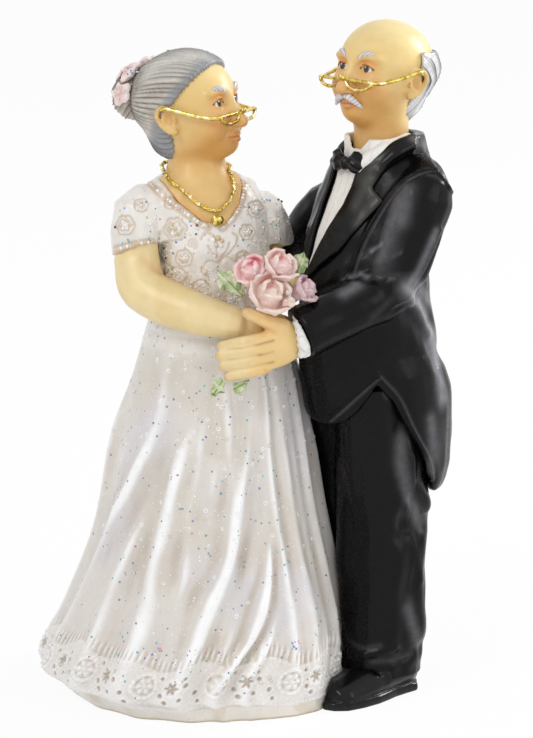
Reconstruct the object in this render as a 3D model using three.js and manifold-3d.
// Wedding couple cake figurine: an elderly bride and groom who face each other and hold hands
// over a posy of roses. Cast resin, 120 mm tall. Millimetres, +Z up. The origin lies in the
// flat underside of the gown, and -Y looks towards the viewer.
import * as THREE from "three";
import { mergeVertices } from "three/addons/utils/BufferGeometryUtils.js";
import Module from "manifold-3d";

const wasm = await Module();
wasm.setup();

const rad = THREE.MathUtils.degToRad;
const at = (x, y, z) => new THREE.Vector3(x, y, z);
const FULL_TURN = 2 * Math.PI;

// Gap between two neighbouring pieces of the casting, where the paint line runs.
const PIECE_GAP = 0.3;
// Smallest detail that a piece keeps after it is cut to its neighbours.
const FINEST_DETAIL = 0.07;

// Stance: where each body stands and which way its chest and its head turn.
const brideStance = { x: -6, y: 0, turn: 22 };
const brideHeadPose = { x: -3, y: 0.8, z: 104.9, turn: 40, tilt: 12 };
const groomHeadPose = { x: -0.3, y: 2, z: 110.7, turn: 4, tilt: 12 };

// Gown, in the bride's own frame: she looks along -Y and her left hand is towards +X.
const gown = {
  floorRadius: 24,
  hemRadius: 26.6,
  hemHeight: 5.4,
  waistRadius: 11.6,
  waistHeight: 68.5,
  foldDepth: 1.7,
  trail: 4.4,
  trailAngle: 145,
  spread: 3,
  spreadAngle: -61,
  bodiceTop: 93,
  rightShoulder: { half: 11.6, height: 86.6 },
  leftShoulder: { half: 11.1, height: 84.4 },
  sleeveRadius: 4.7,
  sleeveHem: 80.4,
  necklineWidth: 12.5,
  necklineFront: 85.6,
};
// The groom stands beside the hem, with his shoes under its edge.
const hemToGroom = 1.4;
const groomStance = { x: brideStance.x + gown.hemRadius + hemToGroom, y: 0, turn: -50 };
const brideNeckRadius = 4.5;
const brideArmRadius = 3.9;
const brideWristRadius = 2.9;

// Dress suit, in the groom's own frame.
const suit = {
  trouserRadius: 7,
  legHalf: 5.3,
  hemHeight: 3.6,
  seatHeight: 55,
  chestHalf: 11.4,
  bellyFront: 14.2,
  backDepth: 10.3,
  waistSeam: 62,
  frontLength: 12.6,
  cutawayAt: -6.8,
  cutawayDrop: 3.6,
  tailLength: 25.5,
  tailHalf: 12.8,
  tailBack: 15.1,
  nearShoulder: { half: 12.5, height: 90.6 },
  farShoulder: { half: 11.5, height: 85.2 },
  sleeveRadius: 5.3,
  cuffRadius: 4.9,
  lapelThickness: 0.9,
  ventWidth: 1.6,
};
const hemFront = suit.waistSeam - suit.frontLength;
const cutawayTop = suit.waistSeam - suit.cutawayDrop;
const tailTip = suit.waistSeam - suit.tailLength;
const shoe = { length: 22.5, halfWidth: 4.4, height: 7, sole: 1.3, toeOut: 4 };
const groomNeckRadius = 5.5;

// Heads, after the usual proportions: five eyes wide, eyes half way up, and so on.
const head = { half: 9.4, skullHalf: 7.6, skullDepth: 8.9, hairThickness: 0.9 };
const eyeLine = 0;
const noseBase = -head.half / 2;
const noseLength = 2.3;
const earHeight = 4.9;
const bunRadius = 4.3;
const bunSeat = { y: 11.4, z: 3.4 };

// Gold wire of the spectacles, and the chain with its long links.
const wireRadius = 0.36;
const lens = { halfWidth: 2.9, drop: 1.4, centre: 3.3, y: -8.9, z: -2.3 };
const chain = { radius: 0.36, linkSwell: 0.14, links: 22, pendantRadius: 1.2 };

// Hands, in the room's frame, because both figures meet there.
const clasp = { x: 2.7, y: -17.6, z: 67 };
const fingerRadius = 0.98;
const fingerPitch = 1.85;
const groomFingerReach = 7.4;

// Roses of the posy: centre, radius and the way each one faces.
const posyRoses = [
  { name: "front", p: at(3.9, -19.8, 75.2), r: 4.3, lean: 50, turn: 20 },
  { name: "right", p: at(5.6, -17.2, 79.6), r: 3.5, lean: 42, turn: 34 },
  { name: "left", p: at(1.2, -17.4, 78.8), r: 3.3, lean: 45, turn: -25 },
  { name: "small", p: at(9.7, -17.8, 75.9), r: 2.7, lean: 60, turn: 60 },
  { name: "bud", p: at(7.2, -21.8, 74.4), r: 1.7, lean: 60, turn: 40 },
];
const petalThickness = 0.55;

// Leaves of the posy: root, tip and half width.
const posyLeaves = [
  { name: "upper", root: at(-0.9, -16.8, 74.9), tip: at(-4.9, -16.2, 79), half: 1.7 },
  { name: "right", root: at(8.6, -15.6, 78), tip: at(9.9, -13.4, 81.6), half: 1.5 },
  { name: "lower_outer", root: at(-3.7, -18.7, 60.7), tip: at(-6, -19.5, 57.4), half: 1.4 },
  { name: "lower_inner", root: at(0.3, -19.6, 62.4), tip: at(-2, -20.6, 58.5), half: 1.4 },
];
const leafThickness = 0.8;

// Colours of the paint.
const paint = {
  gown: ["#e9e4e2", 0.35, 0],
  skin: ["#ecd49a", 0.45, 0],
  brideHair: ["#b9b8ba", 0.5, 0],
  groomHair: ["#aeb0b6", 0.4, 0],
  gold: ["#d9a928", 0.25, 1],
  blackCloth: ["#18171a", 0.35, 0],
  blackShoe: ["#141316", 0.22, 0],
  shirt: ["#f2f0ec", 0.5, 0],
  rose: ["#edc3bd", 0.45, 0],
  blossom: ["#e9cfc9", 0.45, 0],
  leaf: ["#a9bd85", 0.5, 0],
};

// Shape tools.

function geometryOf(points, faces) {
  const geometry = new THREE.BufferGeometry();
  const flat = points.flatMap((p) => [p.x, p.y, p.z]);
  geometry.setAttribute("position", new THREE.Float32BufferAttribute(flat, 3));
  geometry.setIndex(faces);
  return geometry;
}

function signedVolume(points, faces) {
  let six = 0;
  for (let i = 0; i < faces.length; i += 3) {
    const [a, b, c] = [points[faces[i]], points[faces[i + 1]], points[faces[i + 2]]];
    six += a.dot(b.clone().cross(c));
  }
  return six / 6;
}

function facingOut(points, faces) {
  if (signedVolume(points, faces) < 0)
    for (let i = 0; i < faces.length; i += 3)
      [faces[i + 1], faces[i + 2]] = [faces[i + 2], faces[i + 1]];
  return geometryOf(points, faces);
}

const middle = (ring) =>
  ring.reduce((sum, p) => sum.add(p), at(0, 0, 0)).divideScalar(ring.length);

// The faces between rings of equally many points, the last joined to the first if it is a loop.
function wallFaces(rings, loop) {
  const n = rings[0].length;
  const faces = [];
  for (let r = 0; r < rings.length - (loop ? 0 : 1); r++) {
    const low = r * n;
    const high = ((r + 1) % rings.length) * n;
    for (let i = 0; i < n; i++) {
      const j = (i + 1) % n;
      faces.push(low + i, low + j, high + j, low + i, high + j, high + i);
    }
  }
  return faces;
}

// A closed skin over rings, with a fan over the first and the last.
function skinOver(rings) {
  const n = rings[0].length;
  const last = (rings.length - 1) * n;
  const points = [...rings.flat(), middle(rings[0]), middle(rings.at(-1))];
  const faces = wallFaces(rings, false);
  const [bottom, top] = [points.length - 2, points.length - 1];
  for (let i = 0; i < n; i++) {
    const j = (i + 1) % n;
    faces.push(bottom, j, i, top, last + i, last + j);
  }
  return facingOut(points, faces);
}

const loopOver = (rings) => facingOut(rings.flat(), wallFaces(rings, true));

// A level ring of a body: half as wide as side, with its own depth in front and behind.
function bodyRing({ x = 0, y = 0, z, side, front, back }, segments, wave = () => 0) {
  const ring = [];
  for (let i = 0; i < segments; i++) {
    const t = (FULL_TURN * i) / segments;
    const depth = Math.sin(t) < 0 ? front : back;
    const swell = wave(t, z);
    ring.push(at(x + (side + swell) * Math.cos(t), y + (depth + swell) * Math.sin(t), z));
  }
  return ring;
}

// Stations given by hand, filled in with as many steps as asked along a smooth curve.
function alongStations(stations, steps, read) {
  const curves = read(stations[0]).map((unused, k) => {
    const values = stations.map((s) => at(read(s)[k], 0, 0));
    return new THREE.CatmullRomCurve3(values, false, "catmullrom", 0.5);
  });
  const rows = [];
  for (let i = 0; i <= steps; i++) rows.push(curves.map((c) => c.getPoint(i / steps).x));
  return rows;
}

function body(stations, segments, steps, wave) {
  const read = (s) => [s.x ?? 0, s.y ?? 0, s.z, s.side, s.front, s.back];
  const rows = alongStations(stations, steps, read);
  return skinOver(
    rows.map(([x, y, z, side, front, back]) =>
      bodyRing({ x, y, z, side, front, back }, segments, wave),
    ),
  );
}

// An oval section square to a direction, as wide as a across and b along the upright.
function sectionRing(p, direction, upright, a, b, sides) {
  const across = direction.clone().cross(upright).normalize();
  const rise = across.clone().cross(direction).normalize();
  const ring = [];
  for (let i = 0; i < sides; i++) {
    const t = (FULL_TURN * i) / sides;
    ring.push(
      p.clone().addScaledVector(across, a * Math.cos(t)).addScaledVector(rise, b * Math.sin(t)),
    );
  }
  return ring;
}

// A limb with round ends, swept through stations of a centre and one or two half widths.
function limb(stations, { sides = 12, steps = 8, upright = at(0, 0, 1), round = 2 } = {}) {
  const curve = new THREE.CatmullRomCurve3(stations.map((s) => s.p));
  const sizes = alongStations(stations, steps, (s) => [s.a, s.b ?? s.a]);
  const rings = sizes.map(([a, b], i) =>
    sectionRing(curve.getPoint(i / steps), curve.getTangent(i / steps), upright, a, b, sides),
  );
  const capRings = (t, sign) => {
    const [a, b] = sizes[t * steps];
    const direction = curve.getTangent(t);
    const made = [];
    for (let k = 1; k <= round; k++) {
      const angle = (Math.PI / 2) * (k / (round + 0.35));
      const p = curve
        .getPoint(t)
        .addScaledVector(direction, sign * Math.min(a, b) * Math.sin(angle));
      const shrink = Math.cos(angle);
      made.push(sectionRing(p, direction, upright, a * shrink, b * shrink, sides));
    }
    return made;
  };
  return skinOver([...capRings(0, -1).reverse(), ...rings, ...capRings(1, 1)]);
}

// A closed loop of round wire along a curve, with an even or a swelling thickness.
function wireLoop(curve, radius, sides, steps, swell = () => 0) {
  const frames = curve.computeFrenetFrames(steps, true);
  const rings = [];
  for (let i = 0; i < steps; i++) {
    const r = radius + swell(i / steps);
    const ring = [];
    for (let k = 0; k < sides; k++) {
      const t = (FULL_TURN * k) / sides;
      ring.push(
        curve
          .getPointAt(i / steps)
          .addScaledVector(frames.normals[i], r * Math.cos(t))
          .addScaledVector(frames.binormals[i], r * Math.sin(t)),
      );
    }
    rings.push(ring);
  }
  return loopOver(rings);
}

function ellipsoid(centre, rx, ry, rz, wide = 12, high = 8) {
  return new THREE.SphereGeometry(1, wide, high)
    .scale(rx, ry, rz)
    .translate(centre.x, centre.y, centre.z);
}

// How far a ray from the origin runs before it leaves an ellipsoid, or 0 where it misses.
function reach(direction, { c, r }) {
  const q = at(direction.x / r.x, direction.y / r.y, direction.z / r.z);
  const e = at(c.x / r.x, c.y / r.y, c.z / r.z);
  const [aa, bb, cc] = [q.dot(q), q.dot(e), e.dot(e) - 1];
  const root = bb * bb - aa * cc;
  return root < 0 ? 0 : Math.max(0, (bb + Math.sqrt(root)) / aa);
}

// A rounded form round the origin that blends several ellipsoids, as a modeller's clay does.
function blended(lobes, wide, high, softness = 0.5) {
  const geometry = new THREE.SphereGeometry(1, wide, high);
  const place = geometry.attributes.position;
  for (let i = 0; i < place.count; i++) {
    const d = at(place.getX(i), place.getY(i), place.getZ(i)).normalize();
    const sum = lobes.reduce((s, lobe) => s + Math.exp(reach(d, lobe) / softness), 0);
    d.multiplyScalar(softness * Math.log(sum));
    place.setXYZ(i, d.x, d.y, d.z);
  }
  return geometry;
}

// Cutting and joining.

function solidOf(geometry) {
  const bare = new THREE.BufferGeometry();
  const source = geometry.index ? geometry.toNonIndexed() : geometry;
  bare.setAttribute("position", source.getAttribute("position").clone());
  const merged = mergeVertices(bare, 1e-3);
  return new wasm.Manifold(
    new wasm.Mesh({
      numProp: 3,
      vertProperties: merged.attributes.position.array,
      triVerts: new Uint32Array(merged.index.array),
    }),
  );
}

function geometryFrom(solid) {
  const mesh = solid.getMesh();
  const geometry = new THREE.BufferGeometry();
  const positions = new Float32Array(mesh.numVert * 3);
  for (let i = 0; i < mesh.numVert; i++)
    for (let k = 0; k < 3; k++)
      positions[3 * i + k] = mesh.vertProperties[i * mesh.numProp + k];
  geometry.setAttribute("position", new THREE.BufferAttribute(positions, 3));
  geometry.setIndex(new THREE.BufferAttribute(mesh.triVerts, 1));
  return geometry;
}

const join = (...geometries) =>
  geometryFrom(geometries.map(solidOf).reduce((a, b) => a.add(b)));
const cut = (geometry, ...cutters) =>
  geometryFrom(cutters.map(solidOf).reduce((a, b) => a.subtract(b), solidOf(geometry)));
const within = (geometry, other) =>
  geometryFrom(solidOf(geometry).intersect(solidOf(other)));

// The same form with every face pushed out by a distance. Each corner moves to where the moved
// planes of its faces meet best, in the sense of least squares.
function grown(geometry, distance) {
  const bare = new THREE.BufferGeometry();
  const source = geometry.index ? geometry.toNonIndexed() : geometry;
  bare.setAttribute("position", source.getAttribute("position").clone());
  const merged = mergeVertices(bare, 1e-3);
  const place = merged.attributes.position;
  const { array: index } = merged.index;
  const points = [];
  for (let i = 0; i < place.count; i++)
    points.push(new THREE.Vector3().fromBufferAttribute(place, i));
  const sums = points.map(() => ({ m: new Array(9).fill(0), v: at(0, 0, 0), weight: 0 }));
  for (let f = 0; f < index.length; f += 3) {
    const corners = [index[f], index[f + 1], index[f + 2]];
    const face = new THREE.Triangle(...corners.map((i) => points[i])).getNormal(at(0, 0, 0));
    const n = face.toArray();
    corners.forEach((i, k) => {
      const one = points[corners[(k + 1) % 3]].clone().sub(points[i]);
      const two = points[corners[(k + 2) % 3]].clone().sub(points[i]);
      const weight = one.angleTo(two);
      for (let a = 0; a < 9; a++) sums[i].m[a] += weight * n[a % 3] * n[Math.floor(a / 3)];
      sums[i].v.addScaledVector(face, weight);
      sums[i].weight += weight;
    });
  }
  points.forEach((p, i) => {
    const { m, v, weight } = sums[i];
    for (const a of [0, 4, 8]) m[a] += 0.002 * weight;
    const step = v.applyMatrix3(new THREE.Matrix3().fromArray(m).invert());
    p.addScaledVector(step.clampLength(0, 2.4), distance);
    place.setXYZ(i, p.x, p.y, p.z);
  });
  return merged;
}

// A flat outline in the XZ plane, cut through from one depth to another.
function plate(outline, yNear, yFar) {
  const shape = new THREE.Shape(outline.map(([x, z]) => new THREE.Vector2(x, z)));
  return new THREE.ExtrudeGeometry(shape, { depth: yFar - yNear, bevelEnabled: false })
    .rotateX(Math.PI / 2)
    .translate(0, yFar, 0);
}

// An outline in the YZ plane, cut through from one x to another.
const fromTheSide = (outline, xLow = -30, xHigh = 30) =>
  plate(outline, -xHigh, -xLow).rotateZ(Math.PI / 2);

// The groups, and the list of pieces in the order in which they give way.

const figurine = new THREE.Group();
const group = (parent, { x, y, z = 0, turn = 0, tilt = 0 }) => {
  const made = new THREE.Group();
  made.rotation.order = "ZXY";
  made.position.set(x, y, z);
  made.rotation.set(-rad(tilt), 0, rad(turn));
  parent.add(made);
  return made;
};
const bride = group(figurine, brideStance);
const groom = group(figurine, groomStance);
const brideHead = group(bride, brideHeadPose);
const groomHead = group(groom, groomHeadPose);
const hands = group(figurine, { x: 0, y: 0 });
figurine.updateMatrixWorld(true);

const pieces = [];
function piece(parent, name, geometry, [color, roughness, metalness]) {
  const material = new THREE.MeshStandardMaterial({ color, roughness, metalness });
  const mesh = new THREE.Mesh(geometry, material);
  mesh.name = name;
  parent.add(mesh);
  pieces.push(mesh);
}

// Bride: gown.

const trailX = Math.cos(rad(gown.trailAngle));
const trailY = Math.sin(rad(gown.trailAngle));
const spreadTurn = rad(gown.spreadAngle);
const easeIn = (t) => t * t * (3 - 2 * t);

// The fall of the skirt from the floor up: height, radius and how far it trails behind her.
const skirtStations = [
  { z: 0, r: gown.floorRadius, trail: 0.45 * gown.trail },
  { z: 0.5 * gown.hemHeight, r: gown.hemRadius - 1.1, trail: 0.8 * gown.trail },
  { z: gown.hemHeight, r: gown.hemRadius, trail: gown.trail },
  { z: 15.6, r: 24.2, trail: 1.8 },
  { z: 30, r: 20.2, trail: 0.2 },
  { z: 46, r: 17.4, trail: 0 },
  { z: 58, r: 14.6, trail: -0.6 },
  { z: gown.waistHeight, r: gown.waistRadius, trail: -0.6 },
];

// Long folds of the cloth: half width in degrees, share of the full depth, then the turn in
// degrees and the height along each, from the hem up.
const skirtFolds = [
  [6, 0.6, [-184, 12], [-181, 24], [-174, 33], [-160, 41], [-148, 52], [-151, 66]],
  [6, 1, [-139, 9], [-138, 20], [-138, 29], [-132, 41], [-126, 52]],
  [3.6, 0.35, [-160, 10], [-159, 22], [-155, 30], [-147, 40]],
  [4.6, 0.94, [-117, 8], [-112, 18], [-104, 28], [-98, 38], [-92, 48]],
  [2.4, 0.7, [-103, 6], [-91, 16], [-85, 24], [-82, 32]],
  [2.6, 0.41, [-73, 10], [-76, 28], [-78, 42], [-77, 62]],
  [3, 0.47, [-63, 10], [-65, 30], [-66, 54]],
  [2.6, 0.35, [-55, 14], [-57, 36], [-56, 56]],
  [3.4, 0.53, [-44, 8], [-46, 26], [-48, 42], [-44, 60]],
  [4, 0.53, [-28, 10], [-30, 32], [-29, 54]],
  [4.5, 0.65, [-10, 8], [-9, 20], [-11, 38], [-12, 60]],
  [5, 0.65, [-205, 8], [-203, 26], [-199, 40], [-197, 56]],
  [5, 0.7, [-231, 8], [-228, 24], [-226, 40], [-222, 60]],
  [5, 0.82, [-257, 8], [-255, 20], [-252, 34], [-246, 56]],
  [4.4, 0.65, [-277, 8], [-276, 22], [-272, 42], [-266, 62]],
  [5, 0.82, [-303, 8], [-300, 20], [-297, 36], [-292, 58]],
  [5, 0.7, [-322, 8], [-324, 22], [-322, 38], [-318, 60]],
  [4.5, 0.7, [-344, 8], [-345, 18], [-343, 34], [-340, 58]],
];

const between = (z, low, high) => easeIn(THREE.MathUtils.clamp((z - low) / (high - low), 0, 1));

// A fold's turn at a height, along straight runs between its given places.
function trackTurn(track, z) {
  const i = track.findIndex(([, top]) => top >= z);
  if (i < 0) return track[track.length - 1][0];
  if (i === 0) return track[0][0];
  const [[fromTurn, from], [toTurn, to]] = [track[i - 1], track[i]];
  return THREE.MathUtils.lerp(fromTurn, toTurn, (z - from) / (to - from));
}

// A rounded ridge with a shallow hollow on each side, which dies away above its upper end.
function foldRelief([halfWidth, depth, ...track], t, z) {
  const top = track[track.length - 1][1];
  const present = (1 - between(z, top - 12, top + 5)) * (0.3 + 0.7 * between(z, 0, 7));
  const off = t - rad(trackTurn(track, z));
  const d = Math.abs(Math.atan2(Math.sin(off), Math.cos(off))) / rad(halfWidth);
  const hollow = (d - 1.9) / 0.9;
  return depth * present * (Math.exp(-d * d) - 0.42 * Math.exp(-hollow * hollow));
}

// The skirt's swell at a turn and a height: none at the waist, and fullest at the hem.
function skirtFold(t, z) {
  const share = 1 - between(z, 0, gown.waistHeight);
  const wave =
    0.5 * Math.cos(9 * t + 1.1 * Math.sin(2 * t)) +
    0.3 * Math.cos(5 * t + 0.7) +
    0.2 * Math.cos(14 * t + 2);
  const underfoot = z < 0.1 ? 0.4 : 1;
  const off = Math.atan2(Math.sin(t - spreadTurn), Math.cos(t - spreadTurn)) / 0.4;
  const spread = gown.spread * share ** 3 * Math.exp(-off * off);
  const folds = skirtFolds.reduce((sum, fold) => sum + foldRelief(fold, t, z), 0);
  return gown.foldDepth * (0.26 * share * wave * underfoot + folds) + spread;
}

const skirtBody = body(
  skirtStations.map(({ z, r, trail }) => ({
    x: trail * trailX,
    y: trail * trailY,
    z,
    side: r,
    front: r,
    back: r,
  })),
  72,
  12,
  skirtFold,
);
piece(bride, "gown_skirt", skirtBody, paint.gown);

const bodiceFoot = gown.waistHeight + PIECE_GAP;
const bodiceStations = [
  { x: 0.5, y: -0.2, z: bodiceFoot, side: 11, front: 10.6, back: 9.6 },
  { x: 0.2, y: -0.1, z: 74, side: 10.5, front: 10.9, back: 9 },
  { x: -0.6, y: 0.2, z: 80, side: 10.6, front: 11.2, back: 8.8 },
  { x: -1.4, y: 0.6, z: 86, side: 11, front: 9.4, back: 8.4 },
  { x: -1.9, y: 0.8, z: 90.5, side: 10.6, front: 7, back: 7.2 },
  { x: -2.2, y: 1, z: gown.bodiceTop, side: 6.6, front: 5.4, back: 6 },
];
const bodiceBody = body(bodiceStations, 26, 7);
const neckX = -2.6;
const necklineHalf = gown.necklineWidth / 2;
const necklineCutter = plate(
  [
    [neckX - 1.12 * necklineHalf, gown.bodiceTop + 2],
    [neckX - 1.05 * necklineHalf, gown.bodiceTop - 1.6],
    [neckX - 0.9 * necklineHalf, gown.bodiceTop - 3.4],
    [neckX - 0.36 * necklineHalf, gown.bodiceTop - 6.6],
    [neckX + 1.2, gown.necklineFront],
    [neckX + 0.75 * necklineHalf, gown.bodiceTop - 4.4],
    [neckX + necklineHalf, gown.bodiceTop - 1.6],
    [neckX + 1.1 * necklineHalf, gown.bodiceTop + 2],
  ],
  -16,
  1,
);
const brideNeck = limb(
  [
    { p: at(neckX, 0, 89), a: brideNeckRadius + 2 },
    { p: at(neckX, 0.9, 92.4), a: brideNeckRadius + 1 },
    { p: at(neckX + 0.1, 1.2, 95.5), a: brideNeckRadius },
    { p: at(brideHeadPose.x, 1.2, 101.5), a: brideNeckRadius },
  ],
  { sides: 14, steps: 3, upright: at(0, 1, 0), round: 1 },
);
const brideChest = within(bodiceBody, necklineCutter);
piece(bride, "bride_neck", join(brideNeck, brideChest), paint.skin);
piece(bride, "gown_bodice", bodiceBody, paint.gown);

// Heads.

const skullLobe = {
  c: at(0, 1.3, 1.8),
  r: at(head.skullHalf, head.skullDepth, head.half - 1.8),
};
const faceLobe = { c: at(0, -1, -2.4), r: at(6.2, 6.9, head.half - 2.4) };
const cheekLobe = (side) => ({ c: at(3.1 * side, -4.1, -3), r: at(2.9, 3, 3) });
const chinLobe = { c: at(0, -4.4, -7.1), r: at(2.6, 2.6, 2.3) };
const headLobes = [skullLobe, faceLobe, cheekLobe(-1), cheekLobe(1), chinLobe];

function ear(side) {
  const seat = at(side * (head.skullHalf - 0.5), 1.4, eyeLine + 1.2 - earHeight / 2);
  const shell = ellipsoid(seat, 1.1, 1.7, earHeight / 2, 8, 5);
  const bowl = ellipsoid(seat.clone().add(at(side * 1.1, -0.3, 0.4)), 0.7, 0.9, 1.5, 6, 4);
  return cut(shell, bowl);
}

function headWithFace() {
  const noseTip = at(0, -7.2 - noseLength, noseBase + 0.9);
  const nose = limb(
    [
      { p: at(0, -7, eyeLine + 0.6), a: 0.7 },
      { p: at(0, -8, eyeLine - 1.6), a: 0.85 },
      { p: noseTip.clone().add(at(0, 1, 0)), a: 1.3, b: 1.1 },
    ],
    { sides: 7, steps: 3, upright: at(0, 1, 0), round: 1 },
  );
  return join(blended(headLobes, 20, 14), nose, ear(-1), ear(1));
}

const browRidge = (side) =>
  limb(
    [
      { p: at(side * 1.7, -7.6, eyeLine + 2.1), a: 0.42 },
      { p: at(side * 3.1, -7.2, eyeLine + 2.8), a: 0.5 },
      { p: at(side * 4.7, -5.9, eyeLine + 2.1), a: 0.32 },
    ],
    { sides: 5, steps: 3, round: 1 },
  );

piece(brideHead, "bride_head", headWithFace(), paint.skin);
piece(groomHead, "groom_head", headWithFace(), paint.skin);
for (const [wearer, who, color] of [
  [brideHead, "bride", paint.brideHair],
  [groomHead, "groom", paint.groomHair],
])
  for (const [hand, side] of [
    ["right", -1],
    ["left", 1],
  ])
    piece(wearer, who + "_eyebrow_" + hand, browRidge(side), color);

// Bride: hair, bun, blossoms.

const hairLobe = (rise) => ({
  c: at(0, 1.6, 1.9),
  r: at(
    head.skullHalf + head.hairThickness,
    head.skullDepth + head.hairThickness,
    head.half - 1.9 + rise,
  ),
});
const napeLobe = { c: at(0, 3.4, -3.6), r: at(5.8, 5.8, 5.4) };

// The hairline runs from the forehead's top to the ear, and down behind it.
const hairCap = within(
  blended([hairLobe(head.hairThickness), napeLobe], 20, 13),
  fromTheSide([
    [-10.8, 14],
    [-6.5, 7.6],
    [-0.8, 1.9],
    [1.6, -0.4],
    [4.4, -14],
    [20, -14],
    [20, 14],
  ]),
);
const earClearance = (side) =>
  ellipsoid(at(side * 8.2, 1.1, eyeLine - 1.6), 3, 2.4, earHeight / 2 + 0.6, 8, 5);
piece(brideHead, "bride_hair", cut(hairCap, earClearance(-1), earClearance(1)), paint.brideHair);
piece(
  brideHead,
  "bride_bun",
  ellipsoid(at(0, bunSeat.y, bunSeat.z), bunRadius, 0.9 * bunRadius, bunRadius, 14, 10),
  paint.brideHair,
);

// A blossom with five round petals about its heart, facing along a direction.
function blossom(centre, facing, r) {
  const petals = [];
  for (let k = 0; k < 5; k++) {
    const t = (FULL_TURN * k) / 5;
    petals.push(
      ellipsoid(at(0.58 * r * Math.cos(t), 0.58 * r * Math.sin(t), 0), 0.5 * r, 0.5 * r, 0.34 * r, 6, 4),
    );
  }
  const heart = ellipsoid(at(0, 0, 0.2 * r), 0.36 * r, 0.36 * r, 0.36 * r, 6, 4);
  const turned = new THREE.Quaternion().setFromUnitVectors(at(0, 0, 1), facing.clone().normalize());
  return join(...petals, heart).applyQuaternion(turned).translate(centre.x, centre.y, centre.z);
}

const hairBlossoms = [
  { p: at(1.6, 8.9, 8.6), facing: at(0.3, 0.6, 1) },
  { p: at(-2.1, 10.4, 7.9), facing: at(-0.5, 0.5, 0.8) },
  { p: at(-3.9, 11.7, 4.6), facing: at(-1, 0.3, 0.4) },
  { p: at(0.6, 12.9, 7.3), facing: at(0.2, 1, 0.9) },
];
const blossomRadius = 2.3;
hairBlossoms.forEach(({ p, facing }, i) =>
  piece(brideHead, "hair_blossom_" + (i + 1), blossom(p, facing, blossomRadius), paint.blossom),
);

// Groom: hair and moustache.

const baldLine = 4.4;
const fringe = within(
  blended([hairLobe(0), napeLobe], 20, 13),
  fromTheSide([
    [1.6, baldLine],
    [2.6, -10],
    [20, -10],
    [20, baldLine + 0.8],
    [9, baldLine + 0.6],
  ]),
);
piece(groomHead, "groom_hair", cut(fringe, earClearance(-1), earClearance(1)), paint.groomHair);
piece(
  groomHead,
  "groom_moustache",
  limb(
    [
      { p: at(-2.6, -7.1, noseBase - 1.7), a: 0.35 },
      { p: at(-1.3, -7.9, noseBase - 0.9), a: 0.75 },
      { p: at(0, -8.2, noseBase - 0.8), a: 0.5 },
      { p: at(1.3, -7.9, noseBase - 0.9), a: 0.75 },
      { p: at(2.6, -7.1, noseBase - 1.7), a: 0.35 },
    ],
    { sides: 6, steps: 8, upright: at(0, 0, 1), round: 1 },
  ),
  paint.groomHair,
);

// Spectacles: two half-moon rims, a bridge and two temples.

function spectacles() {
  const rim = (side) => {
    const { halfWidth: w, drop } = lens;
    const curve = new THREE.CatmullRomCurve3(
      [
        [-w, 0],
        [-0.5 * w, 0.1],
        [0.5 * w, 0.1],
        [w, 0],
        [0.62 * w, -0.8 * drop],
        [0, -drop],
        [-0.62 * w, -0.8 * drop],
      ].map(([x, z]) => at(side * lens.centre + x, lens.y + 0.1 * Math.abs(side * lens.centre + x), lens.z + z)),
      true,
    );
    return wireLoop(curve, wireRadius, 5, 12);
  };
  const bridge = limb(
    [
      { p: at(-(lens.centre - lens.halfWidth), lens.y, lens.z), a: wireRadius },
      { p: at(0, lens.y - 0.5, lens.z + 0.5), a: wireRadius },
      { p: at(lens.centre - lens.halfWidth, lens.y, lens.z), a: wireRadius },
    ],
    { sides: 5, steps: 4, upright: at(0, 1, 0), round: 1 },
  );
  const temple = (side) => {
    const hinge = side * (lens.centre + lens.halfWidth);
    return limb(
      [
        { p: at(hinge, lens.y + 0.1 * Math.abs(hinge), lens.z), a: wireRadius },
        { p: at(side * 7.1, -5.2, lens.z + 0.7), a: wireRadius },
        { p: at(side * 8.2, -1.2, eyeLine + 0.1), a: wireRadius },
        { p: at(side * 8.3, 0.8, eyeLine + 0.9), a: wireRadius },
      ],
      { sides: 5, steps: 4, upright: at(0, 0, 1), round: 1 },
    );
  };
  return join(rim(-1), rim(1), bridge, temple(-1), temple(1));
}
piece(brideHead, "bride_spectacles", spectacles(), paint.gold);
piece(groomHead, "groom_spectacles", spectacles(), paint.gold);

// Groom: neck, and the forms of his legs and shoes.

piece(
  groom,
  "groom_neck",
  limb(
    [
      { p: at(0, 1.8, 92), a: groomNeckRadius },
      { p: at(0, 2, 97), a: groomNeckRadius },
      { p: at(-0.2, 2.2, 104.5), a: groomNeckRadius - 0.2 },
    ],
    { sides: 14, steps: 2, upright: at(0, 1, 0), round: 1 },
  ),
  paint.skin,
);

function trouserLeg(side) {
  const x = side * suit.legHalf;
  const lean = side > 0 ? -1 : 0;
  const r = suit.trouserRadius;
  return body(
    [
      { x, y: lean - 0.4, z: suit.hemHeight, side: r - 0.5, front: r + 0.5, back: r - 0.2 },
      { x, y: lean, z: 12, side: r - 0.7, front: r, back: r - 0.4 },
      { x, y: lean + 0.4, z: 22, side: r - 0.4, front: r + 0.1, back: r + 0.2 },
      { x, y: lean + 0.5, z: 32, side: r - 0.3, front: r + 0.4, back: r + 0.3 },
      { x: 0.96 * x, y: lean + 0.7, z: 44, side: r - 0.5, front: r + 1.8, back: r + 0.4 },
      { x: 0.88 * x, y: 0.2, z: suit.seatHeight, side: r - 1, front: r + 3, back: r + 0.4 },
    ],
    16,
    9,
    (t, z) => 0.28 * Math.sin(0.62 * z + 2 * t) * Math.cos(t - 0.3 * side),
  );
}

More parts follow.
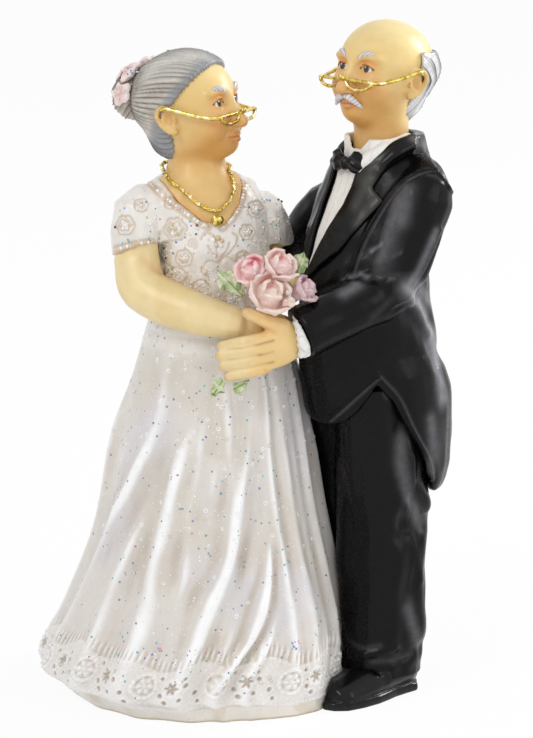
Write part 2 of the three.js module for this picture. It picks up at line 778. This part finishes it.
function dressShoe(side) {
  const heel = side > 0 ? 5.2 : 4;
  const toe = heel - shoe.length;
  const w = shoe.halfWidth;
  const upper = limb(
    [
      { p: at(0, heel - 3.6, 0.44 * shoe.height), a: w - 0.5, b: 0.44 * shoe.height },
      { p: at(0, heel - 8, 0.5 * shoe.height), a: w - 0.3, b: 0.5 * shoe.height },
      { p: at(0, heel - 13, 0.42 * shoe.height), a: w, b: 0.46 * shoe.height },
      { p: at(0, toe + 3.4, 0.3 * shoe.height), a: w - 0.4, b: 0.36 * shoe.height },
    ],
    { sides: 12, steps: 6, round: 2 },
  );
  const soleOutline = new THREE.Shape(
    new THREE.SplineCurve(
      [
        [w - 0.4, heel - 2.6],
        [w - 0.4, heel - 8],
        [w + 0.3, heel - 13],
        [w - 0.6, toe + 2.6],
        [0, toe - 0.2],
        [-w + 0.6, toe + 2.6],
        [-w - 0.3, heel - 13],
        [-w + 0.4, heel - 8],
        [-w + 0.4, heel - 2.6],
        [0, heel],
        [w - 0.4, heel - 2.6],
      ].map(([x, y]) => new THREE.Vector2(x, y)),
    )
      .getPoints(20)
      .slice(0, -1),
  );
  const sole = new THREE.ExtrudeGeometry(soleOutline, { depth: shoe.sole, bevelEnabled: false });
  const floor = new THREE.BoxGeometry(20, 50, 10).translate(0, 0, -5);
  return join(cut(upper, floor), sole)
    .rotateZ(side * rad(shoe.toeOut))
    .translate(side * (suit.legHalf + 0.9), 0, 0);
}

// Groom: dress coat, trousers and shoes.

const coatBody = body(
  [
    {
      y: 0.6,
      z: hemFront - 1,
      side: suit.chestHalf + 0.4,
      front: suit.bellyFront - 2,
      back: suit.backDepth + 1,
    },
    {
      y: 0.4,
      z: 56,
      side: suit.chestHalf + 0.2,
      front: suit.bellyFront - 0.6,
      back: suit.backDepth + 1.2,
    },
    {
      z: 66,
      side: suit.chestHalf - 0.3,
      front: suit.bellyFront,
      back: suit.backDepth + 0.9,
    },
    {
      z: 76,
      side: suit.chestHalf - 0.6,
      front: suit.bellyFront - 1.4,
      back: suit.backDepth - 1.4,
    },
    {
      x: 0.4,
      y: 0.4,
      z: 85,
      side: suit.chestHalf + 0.1,
      front: suit.bellyFront - 4.4,
      back: suit.backDepth - 1.2,
    },
    {
      x: 0.7,
      y: 1,
      z: 91,
      side: suit.chestHalf - 0.4,
      front: suit.bellyFront - 7,
      back: suit.backDepth - 1.4,
    },
    { x: 0.8, y: 1.6, z: 95.4, side: 8.6, front: 6.4, back: 7.6 },
    { x: 0.5, y: 2, z: 97.6, side: 6.4, front: 5, back: 5.6 },
  ],
  28,
  11,
);

// The fronts end in a rounded point and rise to a notch at each side, above the tail's edge.
const cutaway = fromTheSide([
  [-30, 20],
  [-30, hemFront + 1.4],
  [-13.4, hemFront + 1],
  [-12, hemFront + 0.2],
  [-10.6, hemFront + 1.2],
  [suit.cutawayAt, cutawayTop],
  [suit.cutawayAt + 0.7, suit.waistSeam],
  [30, suit.waistSeam],
  [30, 20],
]);
// The chest is twisted a little, so the opening runs down to his right.
const openingFoot = -3.4;
const shirtOpening = plate(
  [
    [openingFoot, 75.4],
    [1.2, 89],
    [2.2, 100],
    [-4.2, 100],
    [-4, 89],
  ],
  -20,
  -1,
);
piece(groom, "shirt_front", within(coatBody, shirtOpening), paint.shirt);
const coat = cut(coatBody, cutaway);
piece(groom, "coat_body", coat, paint.blackCloth);

// Below the waist seam the back of the coat hangs free in two tails with a vent between.
const tailBlank = body(
  [
    { y: 1.4, z: tailTip, side: suit.tailHalf - 1.4, front: 10, back: suit.tailBack - 3.4 },
    { y: 1.8, z: 40, side: suit.tailHalf - 0.6, front: 11, back: suit.tailBack - 2.2 },
    { y: 1.9, z: 48, side: suit.tailHalf, front: 12, back: suit.tailBack - 1.9 },
    { y: 1.4, z: 56, side: suit.tailHalf, front: 12, back: suit.tailBack - 2.2 },
    {
      z: suit.waistSeam,
      side: suit.chestHalf + 0.1,
      front: 12,
      back: suit.backDepth + 0.6,
    },
  ],
  28,
  7,
);
function coatTail(side) {
  const outline = [
    [suit.cutawayAt, cutawayTop],
    [suit.cutawayAt + 0.6, suit.waistSeam + 2],
    [30, suit.waistSeam + 2],
    [30, tailTip - 2],
    [8, tailTip - 2],
    [5.6, tailTip + 0.6],
    [0.6, 45.4],
  ];
  const from = suit.ventWidth / 2;
  return within(tailBlank, fromTheSide(outline, side > 0 ? from : -30, side > 0 ? 30 : -from));
}
piece(groom, "groom_trouser_leg_left", trouserLeg(1), paint.blackCloth);
piece(groom, "groom_trouser_leg_right", trouserLeg(-1), paint.blackCloth);
piece(groom, "groom_shoe_left", dressShoe(1), paint.blackShoe);
piece(groom, "groom_shoe_right", dressShoe(-1), paint.blackShoe);
piece(groom, "coat_tail_left", coatTail(1), paint.blackCloth);
piece(groom, "coat_tail_right", coatTail(-1), paint.blackCloth);

// A lapel is a strip of the coat's own surface, lifted by its thickness.
function lapel(inner, outer) {
  const outline = plate([[openingFoot, 74.6], ...inner, ...outer], -20, 1.5);
  return within(grown(coatBody, suit.lapelThickness), outline);
}
const lapelLeft = lapel(
  [
    [1.5, 88.5],
    [2.6, 97],
  ],
  [
    [7.2, 94.8],
    [6, 92],
    [8.6, 90],
    [3.6, 81],
  ],
);
const lapelRight = lapel(
  [
    [-4.3, 88.5],
    [-4.6, 97],
  ],
  [
    [-8.6, 94.4],
    [-7.6, 91.6],
    [-9.6, 89.6],
    [-7.8, 81],
  ],
);
piece(groom, "coat_lapel_left", lapelLeft, paint.blackCloth);
piece(groom, "coat_lapel_right", lapelRight, paint.blackCloth);

// A band about the neck, cut away in front along a line from one point to another.
function collar(footRadius, topRadius, foot, height, frontFoot, frontTop) {
  const band = limb(
    [
      { p: at(0, 2, foot), a: footRadius },
      { p: at(0, 2.2, foot + height), a: topRadius },
    ],
    { sides: 18, steps: 1, upright: at(0, 1, 0), round: 0 },
  );
  const front = fromTheSide([
    [-20, foot - 2],
    [frontFoot, foot - 2],
    [frontTop, foot + height + 2],
    [-20, foot + height + 2],
  ]);
  return cut(band, front);
}
piece(
  groom,
  "shirt_collar",
  collar(groomNeckRadius + 1.1, groomNeckRadius + 1, 95.2, 4.4, -5.6, -2.4),
  paint.shirt,
);
piece(
  groom,
  "coat_collar",
  collar(groomNeckRadius + 3.6, groomNeckRadius + 1.9, 94.6, 5.6, -7.5, 6),
  paint.blackCloth,
);

function bowTie() {
  const wing = (side) =>
    limb(
      [
        { p: at(side * 0.5, -5.9, 95.6), a: 0.6, b: 0.5 },
        { p: at(side * 2, -6.1, 95.8), a: 1.7, b: 0.8 },
        { p: at(side * 2.9, -5.7, 95.9), a: 1.9, b: 0.7 },
      ],
      { sides: 8, steps: 4, upright: at(0, 1, 0), round: 2 },
    );
  return join(wing(-1), wing(1), ellipsoid(at(0, -6.3, 95.6), 0.85, 0.8, 1.05, 8, 6));
}
piece(groom, "bow_tie", bowTie(), paint.blackCloth);

// Arms and hands, in the room's frame.

const fromBride = (x, y, z) => bride.localToWorld(at(x, y, z));
const fromGroom = (x, y, z) => groom.localToWorld(at(x, y, z));

const torsoX = -1.9;
const shoulderOf = (side) => (side < 0 ? gown.rightShoulder : gown.leftShoulder);
const brideShoulder = (side) =>
  fromBride(torsoX + side * shoulderOf(side).half, 0.7, shoulderOf(side).height);
const brideUpperArm = (side) =>
  fromBride(torsoX + side * (shoulderOf(side).half + 0.3), 0.2, gown.sleeveHem);

// A short puffed sleeve, flat across at its hem.
function brideSleeve(side) {
  const { half, height } = shoulderOf(side);
  const top = fromBride(torsoX + side * (half - 3.2), 0.9, height + 1.6);
  const hemPlane = new THREE.BoxGeometry(30, 30, 20).translate(
    brideUpperArm(side).x,
    brideUpperArm(side).y,
    gown.sleeveHem - 10,
  );
  const r = gown.sleeveRadius;
  return cut(
    limb(
      [
        { p: top, a: r - 0.8 },
        { p: brideShoulder(side), a: r },
        { p: brideUpperArm(side), a: r - 0.2 },
        { p: brideUpperArm(side).add(at(0, 0, -3)), a: r - 0.4 },
      ],
      { sides: 14, steps: 6, upright: at(0, 1, 0), round: 2 },
    ),
    hemPlane,
  );
}

// The groom's near hand: four fingers over the bride's hand, and a thumb above it.
function groomNearHand() {
  const palm = limb(
    [
      { p: at(clasp.x + 5.8, clasp.y - 0.6, clasp.z + 0.6), a: 2, b: 3.3 },
      { p: at(clasp.x + 3.2, clasp.y - 1.9, clasp.z - 0.4), a: 1.7, b: 3.7 },
      { p: at(clasp.x + 0.4, clasp.y - 2.5, clasp.z - 1.6), a: 1.4, b: 3.3 },
    ],
    { sides: 12, steps: 4, round: 2 },
  );
  const fingers = [0, 1, 2, 3].map((i) => {
    const z = clasp.z + 1.2 - fingerPitch * i;
    const length = groomFingerReach * [0.96, 1, 0.93, 0.8][i];
    return limb(
      [
        { p: at(clasp.x + 0.8, clasp.y - 2.7, z), a: fingerRadius },
        { p: at(clasp.x - 0.5 * length, clasp.y - 2.6, z - 0.9), a: fingerRadius },
        { p: at(clasp.x - length, clasp.y - 1.2, z - 1.9), a: 0.85 * fingerRadius },
      ],
      { sides: 7, steps: 4, round: 1 },
    );
  });
  const thumb = limb(
    [
      { p: at(clasp.x + 4, clasp.y - 1.9, clasp.z + 2.8), a: 1.5 },
      { p: at(clasp.x + 1, clasp.y - 2.3, clasp.z + 3.7), a: 1.25 },
      { p: at(clasp.x - 2.6, clasp.y - 1.9, clasp.z + 5.3), a: 1.02 },
    ],
    { sides: 7, steps: 4, round: 1 },
  );
  return join(palm, ...fingers, thumb);
}

// A hand that is closed loosely: a palm and four fingers along one direction.
function openHand(wrist, tips, across, palmHalf, thickness) {
  const way = tips.clone().sub(wrist);
  const palm = limb(
    [
      { p: wrist, a: thickness, b: 0.75 * palmHalf },
      { p: wrist.clone().addScaledVector(way, 0.28), a: thickness, b: palmHalf },
      { p: wrist.clone().addScaledVector(way, 0.52), a: 0.9 * thickness, b: palmHalf },
    ],
    { sides: 10, steps: 3, upright: across, round: 1 },
  );
  const fingers = [-1.5, -0.5, 0.5, 1.5].map((k) => {
    const offset = across.clone().multiplyScalar(k * 0.53 * palmHalf);
    const length = 1 - 0.06 * Math.abs(k - 0.5);
    return limb(
      [
        { p: wrist.clone().addScaledVector(way, 0.45).add(offset), a: 0.85 * fingerRadius },
        { p: wrist.clone().addScaledVector(way, length).add(offset), a: 0.75 * fingerRadius },
      ],
      { sides: 6, steps: 1, upright: across, round: 1 },
    );
  });
  return join(palm, ...fingers);
}

const brideRightArm = join(
  limb(
    [
      { p: brideUpperArm(-1).add(at(0.3, 0, 3)), a: brideArmRadius },
      { p: brideUpperArm(-1).add(at(0.2, -0.6, -2)), a: brideArmRadius },
      { p: at(-17.7, -8.6, 74), a: brideArmRadius + 0.1 },
      { p: at(-9.6, -13.4, 71.2), a: brideArmRadius - 0.3 },
      { p: at(-2.2, -15.6, 69.6), a: brideWristRadius },
    ],
    { sides: 12, steps: 10, upright: at(0, 1, 0.3) },
  ),
  openHand(at(-2.4, -15.6, 69.4), at(7.2, -16, 68), at(0.1, 0, 1).normalize(), 2.9, 1.5),
);
const brideLeftArm = join(
  limb(
    [
      { p: brideUpperArm(1).add(at(0, 0, 3)), a: brideArmRadius - 0.3 },
      { p: brideUpperArm(1).add(at(0.6, -0.8, -3)), a: brideArmRadius - 0.5 },
      { p: at(7.4, -2.6, 74.6), a: brideArmRadius - 0.8 },
      { p: at(6.6, -9.4, 73.4), a: brideWristRadius - 0.4 },
    ],
    { sides: 10, steps: 7, upright: at(1, 0, 0) },
  ),
  openHand(at(6.7, -8.8, 73.4), at(6.2, -16, 74.2), at(0.2, 0, 1).normalize(), 2.5, 1.4),
);

function coatSleeve(shoulder, elbow, wrist) {
  const r = suit.sleeveRadius;
  const halfUpper = shoulder.clone().lerp(elbow, 0.5);
  const halfFore = elbow.clone().lerp(wrist, 0.5);
  const direction = wrist.clone().sub(halfFore).normalize();
  const end = new THREE.BoxGeometry(16, 16, 8)
    .translate(0, 0, 4)
    .applyQuaternion(new THREE.Quaternion().setFromUnitVectors(at(0, 0, 1), direction))
    .translate(wrist.x, wrist.y, wrist.z);
  const blank = limb(
    [
      { p: shoulder, a: r },
      { p: halfUpper, a: r + 0.1 },
      { p: elbow, a: r - 0.5 },
      { p: halfFore, a: r - 0.8 },
      { p: wrist.clone().addScaledVector(direction, 1.5), a: suit.cuffRadius },
    ],
    { sides: 14, steps: 10, upright: at(0.3, 1, 0), round: 2 },
  );
  return cut(blank, end);
}

function shirtCuff(wrist, direction) {
  return limb(
    [
      { p: wrist.clone().addScaledVector(direction, -2), a: suit.cuffRadius - 0.8 },
      { p: wrist.clone().addScaledVector(direction, 1.2), a: suit.cuffRadius - 0.5 },
    ],
    { sides: 14, steps: 1, upright: at(0.3, 1, 0), round: 0 },
  );
}

const nearElbow = at(groomStance.x + 3, -11.4, 75);
const nearWrist = at(clasp.x + 6.6, clasp.y + 0.2, clasp.z + 1.2);
const nearDirection = at(-1, -0.15, -0.14).normalize();
const farElbow = at(groomStance.x - 12.6, 15.4, 76.6);
const farWrist = at(-0.2, 13.4, 75.6);
const farDirection = at(-1, -0.22, -0.28).normalize();
const nearShoulder = fromGroom(suit.nearShoulder.half, 0.8, suit.nearShoulder.height);
const farShoulder = fromGroom(-suit.farShoulder.half, 1, suit.farShoulder.height);

piece(hands, "coat_sleeve_left", coatSleeve(nearShoulder, nearElbow, nearWrist), paint.blackCloth);
piece(hands, "groom_hand_left", groomNearHand(), paint.skin);
piece(hands, "bride_arm_right", brideRightArm, paint.skin);
piece(hands, "gown_sleeve_right", brideSleeve(-1), paint.gown);
piece(hands, "gown_sleeve_left", brideSleeve(1), paint.gown);
piece(hands, "coat_sleeve_right", coatSleeve(farShoulder, farElbow, farWrist), paint.blackCloth);
piece(hands, "bride_arm_left", brideLeftArm, paint.skin);
piece(
  hands,
  "groom_hand_right",
  openHand(farWrist, at(-8.6, 9.8, 73.4), at(0.05, 0.25, 1).normalize(), 2.9, 1.5),
  paint.skin,
);
piece(hands, "shirt_cuff_left", shirtCuff(nearWrist, nearDirection), paint.shirt);
piece(hands, "shirt_cuff_right", shirtCuff(farWrist, farDirection), paint.shirt);

// Necklace.

// A point on the bodice at a height and an angle, lifted off its surface.
function onBodice(z, angle, lift) {
  const k = Math.max(
    1,
    bodiceStations.findIndex((s) => s.z >= z),
  );
  const [low, high] = [bodiceStations[k - 1], bodiceStations[k]];
  const share = (z - low.z) / (high.z - low.z);
  const mix = (key) => THREE.MathUtils.lerp(low[key], high[key], share);
  const [c, s] = [Math.cos(angle), Math.sin(angle)];
  const depth = mix(s < 0 ? "front" : "back");
  return at(mix("x") + (mix("side") + lift) * c, mix("y") + (depth + lift) * s, z);
}
// The chain lies square off the slope of the bodice, and on the foot of the neck behind.
const chainLift = chain.radius + chain.linkSwell + 0.36;
function overBodice(z, degrees, lift = chainLift) {
  const seat = onBodice(z, rad(degrees), 0);
  const up = onBodice(z + 0.4, rad(degrees), 0)
    .sub(onBodice(z - 0.4, rad(degrees), 0))
    .normalize();
  const out = at(Math.cos(rad(degrees)), Math.sin(rad(degrees)), 0);
  return seat.addScaledVector(out.addScaledVector(up, -out.dot(up)).normalize(), lift);
}
const collarPoint = (degrees, z) => {
  const r = brideNeckRadius + 0.8 + chainLift;
  return at(neckX + r * Math.cos(rad(degrees)), 1.2 + r * Math.sin(rad(degrees)), z);
};
const necklaceLine = new THREE.CatmullRomCurve3(
  [
    collarPoint(90, 94.8),
    collarPoint(135, 94.5),
    collarPoint(178, 94.2),
    overBodice(92.3, 212),
    overBodice(91, 236),
    overBodice(89.3, 249),
    overBodice(88, 259),
    overBodice(87.7, 267),
    overBodice(88.4, 274),
    overBodice(89.5, 282),
    overBodice(91, 291),
    collarPoint(-38, 93.9),
    collarPoint(0, 94.2),
    collarPoint(45, 94.5),
  ],
  true,
);
const link = (share) => chain.linkSwell * Math.abs(Math.sin(Math.PI * chain.links * share));
piece(
  bride,
  "necklace_chain",
  wireLoop(necklaceLine, chain.radius, 5, 3 * chain.links, link),
  paint.gold,
);
piece(
  bride,
  "necklace_pendant",
  ellipsoid(
    overBodice(86.2, 264, 0.9),
    chain.pendantRadius,
    0.8,
    chain.pendantRadius,
    8,
    6,
  ),
  paint.gold,
);

// Posy.

// A petal: a cupped sheet that opens outwards from the rose's axis, its rim the widest part.
function petal(r, halfAngle, height, flare) {
  const rows = [
    { up: -0.55, out: 0.5, wide: 0.7 },
    { up: 0.2, out: 0.94, wide: 1 },
    { up: 1, out: 0.9 + flare, wide: 0.68 },
  ];
  const rings = rows.map(({ up, out, wide }) => {
    const arc = (radius, order) =>
      order.map((u) => {
        const t = halfAngle * wide * u;
        const z = height * up * (1 - 0.12 * u * u);
        return at(radius * Math.cos(t), radius * Math.sin(t), z);
      });
    return [
      ...arc(r * out, [-1, 0, 1]),
      ...arc(r * out - petalThickness, [0.85, 0, -0.85]),
    ];
  });
  return skinOver(rings);
}

// A rose: three petals folded round the bud, and a wider whorl about them.
function rose(r, outerCount) {
  const parts = [ellipsoid(at(0, 0, -0.12 * r), 0.62 * r, 0.62 * r, 0.72 * r, 7, 4)];
  const whorl = (count, size, height, flare, start) => {
    for (let k = 0; k < count; k++) {
      const spiral = 1 + 0.07 * (k - 0.5 * count);
      parts.push(
        petal(size * spiral * r, (1.2 * Math.PI) / count, height * r, flare).rotateZ(
          start + (FULL_TURN * k) / count,
        ),
      );
    }
  };
  whorl(3, 0.6, 0.72, -0.1, 0.3);
  if (outerCount) whorl(outerCount, 0.92, 0.5, 0.16, 0);
  return join(...parts);
}

posyRoses.forEach(({ name, p, r, lean, turn }) => {
  const shape = rose(r, r > 2 ? 4 : 0)
    .rotateX(rad(lean))
    .rotateZ(rad(turn))
    .translate(p.x, p.y, p.z);
  piece(hands, "posy_rose_" + name, shape, paint.rose);
});

// A leaf is a thick blade with a raised midrib.
function leaf(root, tip, half) {
  const span = tip.clone().sub(root);
  const along = span.clone().normalize();
  const upright = at(0, -1, 0.2).projectOnPlane(along).normalize();
  const blade = limb(
    [
      { p: root, a: 0.3 * half, b: 0.5 * leafThickness },
      { p: root.clone().addScaledVector(span, 0.4), a: half, b: 0.5 * leafThickness },
      { p: root.clone().addScaledVector(span, 0.75), a: 0.8 * half, b: 0.4 * leafThickness },
      { p: tip, a: 0.15 * half, b: 0.2 * leafThickness },
    ],
    { sides: 8, steps: 4, upright, round: 1 },
  );
  return blade;
}
posyLeaves.forEach(({ name, root, tip, half }) =>
  piece(hands, "posy_leaf_" + name, leaf(root, tip, half), paint.leaf),
);
piece(
  brideHead,
  "hair_leaf",
  leaf(at(2.6, 7.6, 8.6), at(4.6, 4.4, 9.6), 1.1),
  paint.leaf,
);

// Each piece gives way to the pieces before it.

figurine.updateMatrixWorld(true);

function largest(solid) {
  const bodies = solid.decompose();
  return bodies.reduce((a, b) => (b.volume() > a.volume() ? b : a));
}

const inRoom = (mesh, distance) => {
  const geometry = distance ? grown(mesh.geometry, distance) : mesh.geometry.clone();
  return solidOf(geometry.applyMatrix4(mesh.matrixWorld));
};
const boxOf = (solid) => {
  const { min, max } = solid.boundingBox();
  return new THREE.Box3(at(...min), at(...max));
};

const blanks = pieces.map((mesh) => ({
  mesh,
  blank: inRoom(mesh, 0),
  room: inRoom(mesh, PIECE_GAP),
}));
blanks.forEach(({ mesh, blank }, i) => {
  const box = boxOf(blank);
  const cutters = blanks.slice(0, i).filter((other) => boxOf(other.room).intersectsBox(box));
  if (!cutters.length) return;
  const trimmed = cutters.reduce((solid, other) => solid.subtract(other.room), blank);
  const kept = largest(trimmed.asOriginal().simplify(FINEST_DETAIL));
  const settled = largest(solidOf(geometryFrom(kept)));
  mesh.geometry = geometryFrom(settled).applyMatrix4(mesh.matrixWorld.clone().invert());
});

export default figurine;
